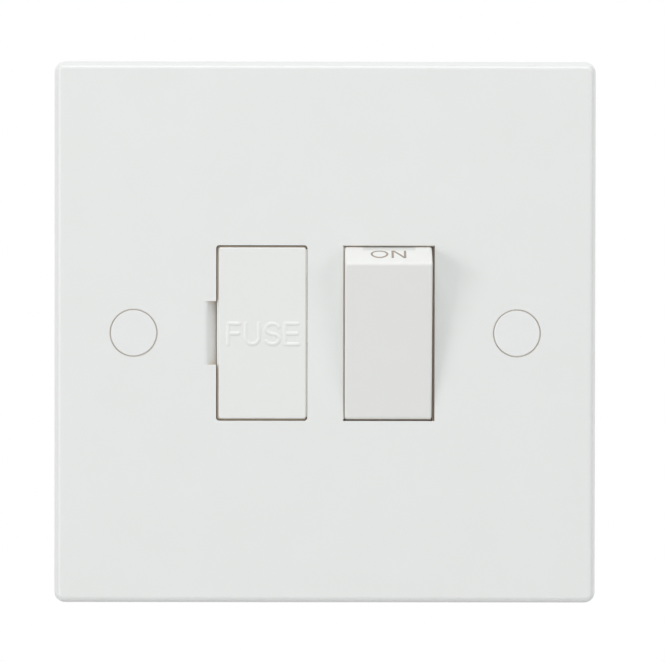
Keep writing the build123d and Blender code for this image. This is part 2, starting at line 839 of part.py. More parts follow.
# The fuse drawer: a flush front, two cheeks with hooked legs and a cradle that snaps round the fuse
drawer_back_level = face_level - drawer_front
cheek_end_level = drawer_back_level - cheek_depth
hook_level = wall_back_level - drawer_travel
drawer_left = drawer_x - drawer_width / 2
drawer_right = drawer_x + drawer_width / 2

with BuildPart() as fuse_drawer:
    with BuildSketch(front_plane(drawer_back_level)):
        with Locations((drawer_x, 0)):
            RectangleRounded(
                drawer_width + 2 * drawer_spread,
                drawer_height + 2 * drawer_spread,
                drawer_corner_radius + drawer_spread,
            )
    extrude(amount=drawer_front, taper=drawer_draft)
    fillet(fuse_drawer.faces().sort_by(Axis.Y)[0].edges(), drawer_edge_radius)
    for outer, inwards in ((drawer_left, 1), (drawer_right, -1)):
        cheek_ends = sorted((outer, outer + inwards * cheek_wall))
        block(cheek_ends, across(0, cheek_height), (cheek_end_level, drawer_back_level))
        block(cheek_ends, across(0, leg_width), (hook_level - hook_length, cheek_end_level))
        # The hook has a square front and a sloping back, so that it snaps past the wall
        with BuildSketch(flat_plane(0, leg_width / 2)):
            with BuildLine():
                Polyline(
                    (outer, hook_level),
                    (outer - inwards * hook_overlap, hook_level),
                    (outer - inwards * hook_overlap, hook_level - hook_length / 3),
                    (outer, hook_level - hook_length),
                    close=True,
                )
            make_face()
        extrude(amount=leg_width)
    block(
        (drawer_left + cradle_inset, drawer_right - cradle_inset),
        across(0, cradle_height),
        (drawer_back_level - cradle_depth, drawer_back_level),
    )
    cradle_radius = fuse_body_radius + running_gap
    with BuildSketch(flat_plane(fuse_x, cheek_height / 2)):
        with Locations((0, fuse_level)):
            Circle(cradle_radius)
        with Locations((0, fuse_level - cradle_depth / 2)):
            Rectangle(2 * cradle_radius - cradle_grip, cradle_depth)
    extrude(amount=cheek_height, mode=Mode.SUBTRACT)
    # Slot under the left edge for a screwdriver's blade
    block(
        (drawer_left, drawer_left + lever_slot_depth),
        across(0, lever_slot_height),
        (drawer_back_level - lever_slot_width, drawer_back_level),
        mode=Mode.SUBTRACT,
    )
write(fuse_drawer.part, "fuse_drawer")

# The cartridge fuse stands upright in the cradle, with a brass cap pressed on each end
spigot_radius = fuse_cap_radius - fuse_cap_wall - running_gap
cap_start_z = fuse_length / 2 - fuse_cap_length
with BuildPart() as fuse_body:
    with BuildSketch(flat_plane(fuse_x, fuse_length / 2 - fuse_cap_wall)):
        with Locations((0, fuse_level)):
            Circle(spigot_radius)
    extrude(amount=fuse_length - 2 * fuse_cap_wall)
    with BuildSketch(flat_plane(fuse_x, cap_start_z)):
        with Locations((0, fuse_level)):
            Circle(fuse_body_radius)
    extrude(amount=2 * cap_start_z)
write(fuse_body.part, "fuse_body")

for row, side in rows.items():
    with BuildPart() as fuse_cap:
        with BuildSketch(flat_plane(fuse_x, max(side * cap_start_z, side * fuse_length / 2))):
            with Locations((0, fuse_level)):
                Circle(fuse_cap_radius)
        extrude(amount=fuse_cap_length)
        end_face = fuse_cap.faces().filter_by(Axis.Z).sort_by(Axis.Z)[-1 if side > 0 else 0]
        fillet(end_face.edges(), fuse_cap_edge)
        with BuildSketch(flat_plane(fuse_x, side * cap_start_z)):
            with Locations((0, fuse_level)):
                Circle(fuse_cap_radius - fuse_cap_wall)
        extrude(amount=-side * (fuse_cap_length - fuse_cap_wall), mode=Mode.SUBTRACT)
    write(fuse_cap.part, f"fuse_cap_{row}")

    # Each clip is a bent strip: jaws round the cap, a stem behind them and a foot on the floor
    jaw_radius = fuse_cap_radius + clip_gap + clip_thickness / 2
    jaw_outer_z = fuse_length / 2 - clip_end_inset
    stem_level = fuse_level - jaw_radius
    with BuildPart() as fuse_clip:
        jaw_top = jaw_outer_z if side > 0 else -jaw_outer_z + clip_height
        with BuildSketch(flat_plane(fuse_x, jaw_top)):
            with BuildLine() as jaw_line:
                Polyline(
                    (jaw_radius + clip_flare, fuse_level + clip_flare_reach),
                    (jaw_radius, fuse_level + clip_jaw_reach),
                    (jaw_radius, fuse_level),
                )
                ThreePointArc((jaw_radius, fuse_level), (0, stem_level), (-jaw_radius, fuse_level))
                Polyline(
                    (-jaw_radius, fuse_level),
                    (-jaw_radius, fuse_level + clip_jaw_reach),
                    (-jaw_radius - clip_flare, fuse_level + clip_flare_reach),
                )
            trace(jaw_line.line, line_width=clip_thickness)
        extrude(amount=clip_height)
        stem_ends = sorted((side * (jaw_outer_z - clip_thickness), side * jaw_outer_z))
        block(across(fuse_x, clip_stem_width), stem_ends, (floor_level, stem_level))
        if side > 0:
            foot_x = across(fuse_x, clip_stem_width)
            foot_end_z = link_low_z
        else:
            foot_x = across(fuse_x - clip_stem_width / 2, clip_stem_width + clip_foot_extra)
            foot_end_z = terminal_inner_z
        foot_z = sorted((side * (jaw_outer_z - clip_thickness), side * foot_end_z))
        block(foot_x, foot_z, (floor_level, strip_level))
    write(fuse_clip.part, f"fuse_clip_{row}")

# Six brass terminals stand in the housing's pockets, with their cable bores facing up and down
terminal_names = {
    ("top", 0): "terminal_earth_left",
    ("top", 1): "terminal_earth_right",
    ("top", 2): "terminal_load_neutral",
    ("bottom", 0): "terminal_load_live",
    ("bottom", 1): "terminal_supply_live",
    ("bottom", 2): "terminal_supply_neutral",
}
terminal_back_level = -terminal_floor_depth - terminal_height
bore_level = -cable_bore_depth
screw_places = []
for (row, column), terminal_name in terminal_names.items():
    side = rows[row]
    terminal_x = terminal_xs[column]
    outer_z = side * (terminal_inner_z + terminal_length)
    screw_z = side * (terminal_inner_z + terminal_length / 2)
    screw_places.append((terminal_x, screw_z))
    with BuildPart() as terminal:
        block(
            across(terminal_x, terminal_width),
            sorted((side * terminal_inner_z, outer_z)),
            (terminal_back_level, -terminal_floor_depth),
        )
        chamfer(terminal.edges().filter_by(Axis.Y), terminal_edge)
        with BuildSketch(flat_plane(terminal_x, outer_z)):
            with Locations((0, bore_level)):
                Circle(cable_bore_radius)
        extrude(amount=side * cable_bore_length, mode=Mode.SUBTRACT)
        with BuildSketch(front_plane(terminal_back_level)):
            with Locations((terminal_x, screw_z)):
                Circle(terminal_screw_radius + running_gap)
        extrude(amount=bore_level - terminal_back_level, mode=Mode.SUBTRACT)
    write(terminal.part, terminal_name)

# The clamp screws are shown backed off, with the cable bores free
with BuildPart() as terminal_screws:
    with BuildSketch(front_plane(terminal_back_level)):
        with Locations(*screw_places):
            Circle(terminal_screw_head_radius)
    extrude(amount=-terminal_screw_head_height)
    with BuildSketch(front_plane(terminal_back_level)):
        with Locations(*screw_places):
            Circle(terminal_screw_radius)
    extrude(amount=bore_level - cable_bore_radius - terminal_back_level - running_gap)
    with BuildSketch(front_plane(terminal_back_level - terminal_screw_head_height)):
        with Locations(*screw_places):
            Rectangle(2 * terminal_screw_head_radius, screw_slot_width)
    extrude(amount=screw_slot_depth, mode=Mode.SUBTRACT)
write(terminal_screws.part, "terminal_screws")

# The earth link lies between the two earth terminals on their pockets' floor
with BuildPart() as earth_link:
    block(
        (terminal_xs[0] + terminal_width / 2, terminal_xs[1] - terminal_width / 2),
        across(earth_z, strip_width),
        (-terminal_floor_depth - strip_thickness, -terminal_floor_depth),
    )
write(earth_link.part, "earth_link")
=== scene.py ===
"""Fused spur unit, dressed and lit as for a catalogue photograph.

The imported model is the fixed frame. This script gives each of its nodes a finish. It adds the raised
word on the fuse drawer, the printed word on the rocker, the beads, strips and ramp that close the
fine gaps of the front, and the threads of the fixing screws. Then it sets the floor, the lights and
the camera. Sizes are in millimetres and are turned to metres where a mesh is made. X runs to the
right, Y into the wall and Z up.
"""

from __future__ import annotations

import json
import logging
import math
from dataclasses import dataclass
from enum import Enum

import bpy
from mathutils import Euler, Matrix, Vector

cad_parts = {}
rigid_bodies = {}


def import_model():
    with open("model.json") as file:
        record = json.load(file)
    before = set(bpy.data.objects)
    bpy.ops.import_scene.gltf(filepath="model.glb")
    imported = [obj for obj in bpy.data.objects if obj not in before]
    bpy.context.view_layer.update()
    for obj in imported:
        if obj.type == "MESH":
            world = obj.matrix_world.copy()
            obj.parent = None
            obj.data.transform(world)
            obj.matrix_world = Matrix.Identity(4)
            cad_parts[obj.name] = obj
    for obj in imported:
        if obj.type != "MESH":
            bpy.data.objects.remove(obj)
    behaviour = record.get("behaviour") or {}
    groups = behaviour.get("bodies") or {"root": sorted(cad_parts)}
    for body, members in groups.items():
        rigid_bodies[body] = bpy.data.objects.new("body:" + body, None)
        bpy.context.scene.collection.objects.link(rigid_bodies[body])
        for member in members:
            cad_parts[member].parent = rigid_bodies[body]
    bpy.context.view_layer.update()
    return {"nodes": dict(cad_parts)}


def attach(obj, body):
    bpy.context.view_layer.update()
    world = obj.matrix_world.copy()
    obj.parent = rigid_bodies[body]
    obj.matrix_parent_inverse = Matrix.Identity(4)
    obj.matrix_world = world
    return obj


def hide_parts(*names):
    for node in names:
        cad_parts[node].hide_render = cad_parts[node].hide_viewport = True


MM = 0.001
# Points nearer than these, in metres, are welded, or count as being in one plane.
WELDED = 1e-7
LEVEL = 1e-6
log = logging.getLogger("fused_spur")


def linear_colour(hex_colour: str) -> tuple[float, float, float, float]:
    """Turn an sRGB hex colour into the linear colour that a shader takes.

    Args:
        hex_colour: Six hex digits after a hash sign.

    Returns:
        Red, green, blue and an alpha of one.
    """
    channels = [int(hex_colour[i : i + 2], 16) / 255 for i in (1, 3, 5)]
    linear = [c / 12.92 if c <= 0.04045 else ((c + 0.055) / 1.055) ** 2.4 for c in channels]
    return (linear[0], linear[1], linear[2], 1.0)


def add_node(
    tree: bpy.types.NodeTree,
    kind: str,
    settings: dict[str, object] | None = None,
    **sockets: object,
) -> bpy.types.Node:
    """Add a shader node with its settings, values and links.

    Args:
        tree: The node tree of a material or of the world.
        kind: The node's type name.
        settings: Attributes of the node itself.
        sockets: Input names with underscores for spaces, or the letter i and an input's number. A
            socket is linked and a value is set.

    Returns:
        The new node.
    """
    node = tree.nodes.new(kind)
    for attribute, value in (settings or {}).items():
        setattr(node, attribute, value)
    for key, value in sockets.items():
        numbered = key[0] == "i" and key[1:].isdigit()
        socket = node.inputs[int(key[1:]) if numbered else key.replace("_", " ")]
        if isinstance(value, bpy.types.NodeSocket):
            tree.links.new(value, socket)
        else:
            socket.default_value = value
    return node


def new_material(name: str) -> tuple[bpy.types.Material, bpy.types.NodeTree, bpy.types.NodeSocket]:
    """Start a node material with only an output.

    Args:
        name: The material's name, after the real finish.

    Returns:
        The material, its tree and the output's surface socket.
    """
    material = bpy.data.materials.new(name)
    material.use_nodes = True
    tree = material.node_tree
    tree.nodes.clear()
    output = tree.nodes.new("ShaderNodeOutputMaterial")
    return material, tree, output.inputs["Surface"]


def noise(
    tree: bpy.types.NodeTree,
    place: bpy.types.NodeSocket,
    size_mm: float,
    detail: float,
) -> bpy.types.NodeSocket:
    """Add a noise whose blots are about size_mm wide, and give its value."""
    cloud = add_node(tree, "ShaderNodeTexNoise", Vector=place, Scale=1 / (size_mm * MM), Detail=detail)
    return cloud.outputs["Fac"]


def mixed(tree: bpy.types.NodeTree, share: object, first: object, second: object) -> bpy.types.NodeSocket:
    """Add a mix of two colours, which is the second one where the share is one."""
    mix = add_node(tree, "ShaderNodeMix", {"data_type": "RGBA"}, i0=share, i6=first, i7=second)
    return mix.outputs["Result"]


def product(tree: bpy.types.NodeTree, first: object, second: object) -> bpy.types.NodeSocket:
    """Add the product of two values."""
    return add_node(tree, "ShaderNodeMath", {"operation": "MULTIPLY"}, i0=first, i1=second).outputs["Value"]


def add_shader(
    tree: bpy.types.NodeTree,
    grain: bpy.types.NodeSocket,
    roughness: tuple[float, float],
    height: bpy.types.NodeSocket,
    depth_mm: float,
    **sockets: object,
) -> bpy.types.NodeSocket:
    """Add a shader whose roughness follows the grain between two values and whose bump is the height."""
    gloss = add_node(tree, "ShaderNodeMapRange", Value=grain, To_Min=roughness[0], To_Max=roughness[1])
    bump = add_node(tree, "ShaderNodeBump", Height=height, Distance=depth_mm * MM, Strength=1.0)
    sockets.update(Roughness=gloss.outputs["Result"], Normal=bump.outputs["Normal"])
    return add_node(tree, "ShaderNodeBsdfPrincipled", **sockets).outputs["BSDF"]


@dataclass(frozen=True)
class MouldedPlastic:
    """A moulded plastic with a faint mottle in its colour and the fine grain of its mould.

    The real grain is too fine to show, so it is drawn as coarse as it needs to be. A white can take
    a warm painted shade in recesses whose walls are nearer than deep_mm: it stands in for the light
    that passes through the translucent walls and bounces in the gaps. A patch is a field of the
    surface, given by its left, right and lower edges in X and Z, that is painted a little darker, as
    painted shade.
    textured and so a little darker.
    """

    name: str
    colour: str
    mottle: str
    roughness: float
    ior: float = 1.54
    mottle_mm: float = 9.0
    grain_mm: float = 0.35
    grain_depth_mm: float = 0.004
    ripple_grains: float = 8.0
    ripple_height: float = 1.5
    smoother: float = 0.03
    rougher: float = 0.04
    recess_shade_colour: str = ""
    deep_mm: float = 2.2
    deep_openness: float = 0.12
    clear_openness: float = 0.62
    openness_samples: int = 12
    patch: tuple[float, float, float] | None = None
    patch_shade_colour: str = "#D9DBD9"
    patch_fade_mm: float = 0.12
    patch_right_fade_mm: float = 0.2

    def depth(self, tree: bpy.types.NodeTree) -> bpy.types.NodeSocket:
        """Give the share of painted warm shade: one where near walls close the surface in, zero where it is
        open.
        """
        openness = add_node(
            tree,
            "ShaderNodeAmbientOcclusion",
            {"samples": self.openness_samples},
            Distance=self.deep_mm * MM,
        )
        depth = add_node(
            tree,
            "ShaderNodeMapRange",
            Value=openness.outputs["AO"],
            From_Min=self.deep_openness,
            From_Max=self.clear_openness,
            To_Min=1.0,
            To_Max=0.0,
        )
        return depth.outputs["Result"]

    def field(self, tree: bpy.types.NodeTree, place: bpy.types.NodeSocket) -> bpy.types.NodeSocket:
        """Give one inside the patch's three edges, where shade is painted, and zero outside them."""
        left, right, foot = self.patch
        at = add_node(tree, "ShaderNodeSeparateXYZ", Vector=place)
        edges = (
            ("X", left, self.patch_fade_mm),
            ("X", right, -self.patch_right_fade_mm),
            ("Z", foot, self.patch_fade_mm),
        )
        inside = [
            add_node(
                tree,
                "ShaderNodeMapRange",
                {"interpolation_type": "SMOOTHSTEP"},
                Value=at.outputs[axis],
                From_Min=(edge - fade) * MM,
                From_Max=(edge + fade) * MM,
            ).outputs["Result"]
            for axis, edge, fade in edges
        ]
        return product(tree, product(tree, inside[0], inside[1]), inside[2])

    def material(self) -> bpy.types.Material:
        """Build the node material."""
        material, tree, surface = new_material(self.name)
        place = add_node(tree, "ShaderNodeTexCoord").outputs["Object"]
        cloud = noise(tree, place, self.mottle_mm, detail=3.0)
        colour = mixed(tree, cloud, linear_colour(self.colour), linear_colour(self.mottle))
        # Painted warm shade in recesses and gaps, where ambient occlusion finds near walls.
        if self.recess_shade_colour:
            colour = mixed(tree, self.depth(tree), colour, linear_colour(self.recess_shade_colour))
        # Painted shade: the patch is painted a little darker.
        if self.patch:
            colour = mixed(tree, self.field(tree, place), colour, linear_colour(self.patch_shade_colour))
        grain = noise(tree, place, self.grain_mm, detail=2.0)
        ripple = noise(tree, place, self.ripple_grains * self.grain_mm, detail=1.0)
        height = add_node(
            tree,
            "ShaderNodeMath",
            {"operation": "MULTIPLY_ADD"},
            i0=ripple,
            i1=self.ripple_height,
            i2=grain,
        )
        shader = add_shader(
            tree,
            grain,
            (self.roughness - self.smoother, self.roughness + self.rougher),
            height.outputs["Value"],
            self.grain_depth_mm,
            Base_Color=colour,
            IOR=self.ior,
        )
        tree.links.new(shader, surface)
        return material


class Working(Enum):
    """How a metal surface was made, as the number of marks along each axis in one mark's length."""

    ROLLED = (1.0, 14.0, 14.0)
    DRAWN = (14.0, 14.0, 1.0)
    MACHINED = (10.0, 1.0, 10.0)
    PLATED = (1.0, 1.0, 1.0)


@dataclass(frozen=True)
class Metal:
    """A metal with fine marks along its working direction and a slight tarnish in patches.

    The real marks are too fine to show, so they are drawn as coarse as they need to be.
    """

    name: str
    colour: str
    tarnish: str
    roughness: float
    working: Working
    mark_length_mm: float = 1.8
    mark_depth_mm: float = 0.003
    smoother: float = 0.06
    rougher: float = 0.1
    tarnish_mm: float = 2.5
    tarnish_starts: float = 0.42
    tarnish_full: float = 0.78

    def material(self) -> bpy.types.Material:
        """Build the node material."""
        material, tree, surface = new_material(self.name)
        place = add_node(tree, "ShaderNodeTexCoord").outputs["Object"]
        stretched = add_node(tree, "ShaderNodeMapping", Vector=place, Scale=self.working.value)
        marks = noise(tree, stretched.outputs["Vector"], self.mark_length_mm, detail=4.0)
        patches = add_node(
            tree,
            "ShaderNodeMapRange",
            Value=noise(tree, place, self.tarnish_mm, detail=4.0),
            From_Min=self.tarnish_starts,
            From_Max=self.tarnish_full,
        )
        tarnish = linear_colour(self.tarnish)
        colour = mixed(tree, patches.outputs["Result"], linear_colour(self.colour), tarnish)
        shader = add_shader(
            tree,
            marks,
            (self.roughness - self.smoother, self.roughness + self.rougher),
            marks,
            self.mark_depth_mm,
            Base_Color=colour,
            Metallic=1.0,
        )
        tree.links.new(shader, surface)
        return material


# Painted warm shade for the recesses and gaps of the white mouldings: it stands in for the
# light that passes through their thin walls and bounces between them.
PAINTED_RECESS_SHADE = "#D2C4B2"
# Urea-formaldehyde, compression moulded: a dense cool white with a soft sheen and no visible grain.
UREA_WHITE = MouldedPlastic(
    "urea_moulding_white",
    "#E7E9E8",
    "#E4E6E4",
    roughness=0.38,
    recess_shade_colour=PAINTED_RECESS_SHADE,
)
# Polycarbonate of the rocker, injection moulded: a slightly warmer and duller white. Painted shade
# darkens a field at the top of the end face, above the printed word.
ROCKER_WHITE = MouldedPlastic(
    "polycarbonate_moulding_white",
    "#E7E8E6",
    "#E5E6E4",
    roughness=0.46,
    grain_mm=0.3,
    recess_shade_colour=PAINTED_RECESS_SHADE,
    deep_mm=1.0,
    patch=(5.9, 14.1, 12.99),
)
# The drawer is urea too, from a mould of its own, and a touch greener.
DRAWER_WHITE = MouldedPlastic(
    "urea_moulding_drawer_white",
    "#E7E9E7",
    "#E5E7E5",
    roughness=0.4,
    recess_shade_colour=PAINTED_RECESS_SHADE,
    deep_mm=1.2,
)
# Polypropylene, injection moulded: the plate's white with a soft, waxy sheen.
CAP_WHITE = MouldedPlastic(
    "polypropylene_cap_white",
    "#E7E9E8",
    "#E5E7E6",
    roughness=0.42,
    ior=1.49,
    recess_shade_colour=PAINTED_RECESS_SHADE,
    deep_mm=1.2,
)
# Phenolic filled with wood flour: a dark warm brown with paler flecks under a moulded skin.
PHENOLIC_BROWN = MouldedPlastic(
    "phenolic_moulding_brown",
    "#3B2B22",
    "#4A382C",
    roughness=0.4,
    ior=1.6,
    mottle_mm=0.5,
    grain_mm=0.25,
    grain_depth_mm=0.01,
)
# Nylon without pigment, injection moulded: a creamy, slightly waxy white.
NYLON_NATURAL = MouldedPlastic(
    "nylon_natural",
    "#E6DFCB",
    "#DDD5BE",
    roughness=0.45,
    ior=1.53,
    mottle_mm=2.0,
)
# Steatite, pressed and fired without a glaze: a matt off-white with a fine tooth.
CERAMIC = MouldedPlastic(
    "steatite_ceramic_unglazed",
    "#E4DDD0",
    "#D9D1C2",
    roughness=0.62,
    ior=1.62,
    mottle_mm=1.2,
    grain_depth_mm=0.012,
)
# Pad printed ink: a thin matt taupe film, a little uneven where the pad lifted.
LEGEND_INK = MouldedPlastic(
    "pad_printed_ink_taupe",
    "#A2968A",
    "#9C9084",
    roughness=0.5,
    ior=1.5,
    mottle_mm=0.4,
)
# Steel with bright zinc plating: a cool grey sheen with faint clouds and no direction.
ZINC_STEEL = Metal("zinc_plated_steel", "#B9BCBC", "#9DA1A3", 0.3, Working.PLATED, mark_length_mm=1.2)
# Music wire, drawn: a darker grey with fine lines along the wire.
MUSIC_WIRE = Metal("music_wire_steel", "#8C8E90", "#77797B", 0.28, Working.DRAWN)
# Brass, turned and drilled: bright yellow with the tool's fine rings.
TURNED_BRASS = Metal("turned_brass", "#CDAA5E", "#A98746", 0.24, Working.MACHINED)
# Brass strip, rolled and blanked: yellow with fine lines along the strip.
BRASS_STRIP = Metal("rolled_brass_strip", "#C9A357", "#A8843F", 0.3, Working.ROLLED)
# Phosphor bronze strip, rolled hard: redder than brass, with the same fine lines.
SPRING_BRONZE = Metal("phosphor_bronze_strip", "#B98557", "#986A43", 0.3, Working.ROLLED)
# Copper strip, rolled: a salmon red that darkens in patches.
COPPER_STRIP = Metal("rolled_copper_strip", "#B87350", "#93593C", 0.32, Working.ROLLED)
# Brass caps with nickel plating: a warm bright silver with fine drawn lines.
NICKEL_PLATE = Metal("nickel_plated_brass", "#C6C1B6", "#AAA498", 0.2, Working.DRAWN)
# Silver alloy, headed as a rivet: a soft white metal that dulls at its rim.
SILVER_RIVET = Metal("silver_alloy_rivet", "#D6D4CF", "#B4B1AB", 0.26, Working.PLATED)


def deselect_all() -> None:
    """Leave object mode with nothing selected."""
    if bpy.context.object and bpy.context.object.mode != "OBJECT":
        bpy.ops.object.mode_set(mode="OBJECT")
    bpy.ops.object.select_all(action="DESELECT")


def activate(piece: bpy.types.Object) -> None:
    """Select one object alone and make it active."""
    deselect_all()
    piece.select_set(True)
    bpy.context.view_layer.objects.active = piece


def set_in_mesh() -> None:
    """Move the place, turn and size of the selected objects into their meshes."""
    bpy.ops.object.transform_apply(location=True, rotation=True, scale=True)


def add_block(
    across: tuple[float, float],
    into: tuple[float, float],
    up: tuple[float, float],
) -> bpy.types.Object:
    """Add a block from its lowest and highest places in X, Y and Z, in millimetres."""
    deselect_all()
    ends = (across, into, up)
    bpy.ops.mesh.primitive_cube_add(size=1, location=[sum(pair) / 2 * MM for pair in ends])
    block = bpy.context.object
    block.scale = [(high - low) * MM for low, high in ends]
    set_in_mesh()
    return block


def add_disc(x: float, front_y: float, depth: float, radius: float, sides: int) -> bpy.types.Object:
    """Add a disc or rod that runs into the wall from front_y at mid height, in millimetres."""
    deselect_all()
    bpy.ops.mesh.primitive_cylinder_add(
        vertices=sides,
        radius=radius * MM,
        depth=depth * MM,
        location=(x * MM, (front_y + depth / 2) * MM, 0),
        rotation=(math.radians(90), 0, 0),
    )
    set_in_mesh()
    return bpy.context.object


def bevel_all(piece: bpy.types.Object, offset: float, segments: int) -> None:
    """Bevel every edge of a piece by an offset in millimetres."""
    activate(piece)
    bpy.ops.object.mode_set(mode="EDIT")
    bpy.ops.mesh.select_all(action="SELECT")
    bpy.ops.mesh.bevel(offset=offset * MM, segments=segments, affect="EDGES")
    bpy.ops.object.mode_set(mode="OBJECT")


def bevel_end(piece: bpy.types.Object, y: float, offset: float, segments: int) -> None:
    """Bevel the rim of a disc or rod at its end at y, by an offset in millimetres."""
    activate(piece)
    corners = piece.data.vertices
    for vertex in corners:
        vertex.select = abs(vertex.co.y - y * MM) < LEVEL
    for part in (*piece.data.edges, *piece.data.polygons):
        part.select = all(corners[v].select for v in part.vertices)
    bpy.ops.object.mode_set(mode="EDIT")
    bpy.ops.mesh.bevel(offset=offset * MM, segments=segments, affect="EDGES")
    bpy.ops.object.mode_set(mode="OBJECT")


def apply_modifier(piece: bpy.types.Object, kind: str, **settings: object) -> None:
    """Add a modifier of a kind to a piece, set its attributes and apply it."""
    activate(piece)
    modifier = piece.modifiers.new(kind.lower(), kind)
    for attribute, value in settings.items():
        setattr(modifier, attribute, value)
    bpy.ops.object.modifier_apply(modifier=modifier.name)


def combine(piece: bpy.types.Object, other: bpy.types.Object, operation: str, solver: str) -> None:
    """Unite a piece with another one, or cut the other from it, and delete the other."""
    apply_modifier(piece, "BOOLEAN", operation=operation, object=other, solver=solver)
    bpy.data.objects.remove(other)


def join_pieces(parts: list[bpy.types.Object], name: str) -> bpy.types.Object:
    """Join mesh objects into one with a name, and with its place in its mesh."""
    deselect_all()
    for part in parts:
        part.select_set(True)
    bpy.context.view_layer.objects.active = parts[0]
    bpy.ops.object.join()
    piece = bpy.context.object
    set_in_mesh()
    piece.name = name
    piece.data.name = name
    return piece


def dress(piece: bpy.types.Object, material: bpy.types.Material) -> None:
    """Give a piece one material all over.

    Args:
        piece: A mesh object.
        material: Its finish.
    """
    piece.data.materials.clear()
    piece.data.materials.append(material)


def close_shell(piece: bpy.types.Object) -> None:
    """Weld a piece's seams and turn its faces outwards."""
    activate(piece)
    bpy.ops.object.mode_set(mode="EDIT")
    bpy.ops.mesh.select_all(action="SELECT")
    bpy.ops.mesh.remove_doubles(threshold=WELDED)
    bpy.ops.mesh.normals_make_consistent(inside=False)
    bpy.ops.object.mode_set(mode="OBJECT")


def coat(piece: bpy.types.Object, material: bpy.types.Material, sharp: float = 40.0) -> None:
    """Give a piece one material and shade it smooth apart from edges sharper than an angle."""
    dress(piece, material)
    activate(piece)
    bpy.ops.object.shade_smooth_by_angle(angle=math.radians(sharp))


def arc_points(
    centre: tuple[float, float],
    radii: tuple[float, float],
    degrees: range,
) -> list[tuple[float, float]]:
    """Lay points along a part of an ellipse, at angles that go up from its right end."""
    turns = [math.radians(angle) for angle in degrees]
    return [(centre[0] + radii[0] * math.cos(t), centre[1] + radii[1] * math.sin(t)) for t in turns]


